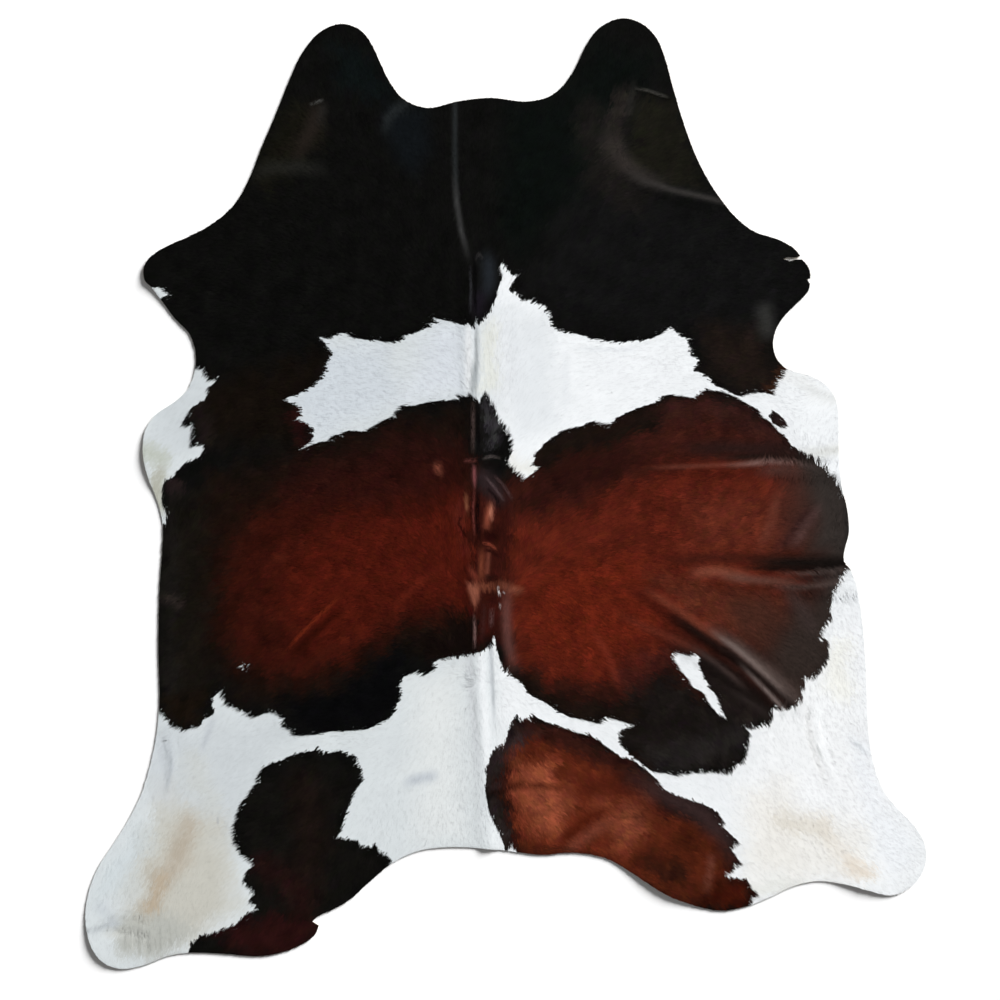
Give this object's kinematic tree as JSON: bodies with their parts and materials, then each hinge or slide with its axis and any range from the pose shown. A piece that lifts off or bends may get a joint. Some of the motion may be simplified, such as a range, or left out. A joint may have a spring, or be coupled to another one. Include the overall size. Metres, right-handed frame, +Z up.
{
  "type": "cowhide rug",
  "caption": "Whole cowhide laid flat as a floor rug, with rounded end lobes and side points, low folds and a level underside.",
  "frame": {"origin": "centre of the box around the hide, on the floor under it", "axes": "+X to the hide's right and +Y towards its narrow end, seen from above; +Z up, out of the hair side"},
  "size_m": [2.1008, 2.375, 0.0131],
  "materials": {
    "hide": "short glossy hair in near-black, red-brown and white patches on tanned leather, suede underside"
  },
  "bodies": {
    "root": {"hide": "hide"}
  },
  "joints": []
}
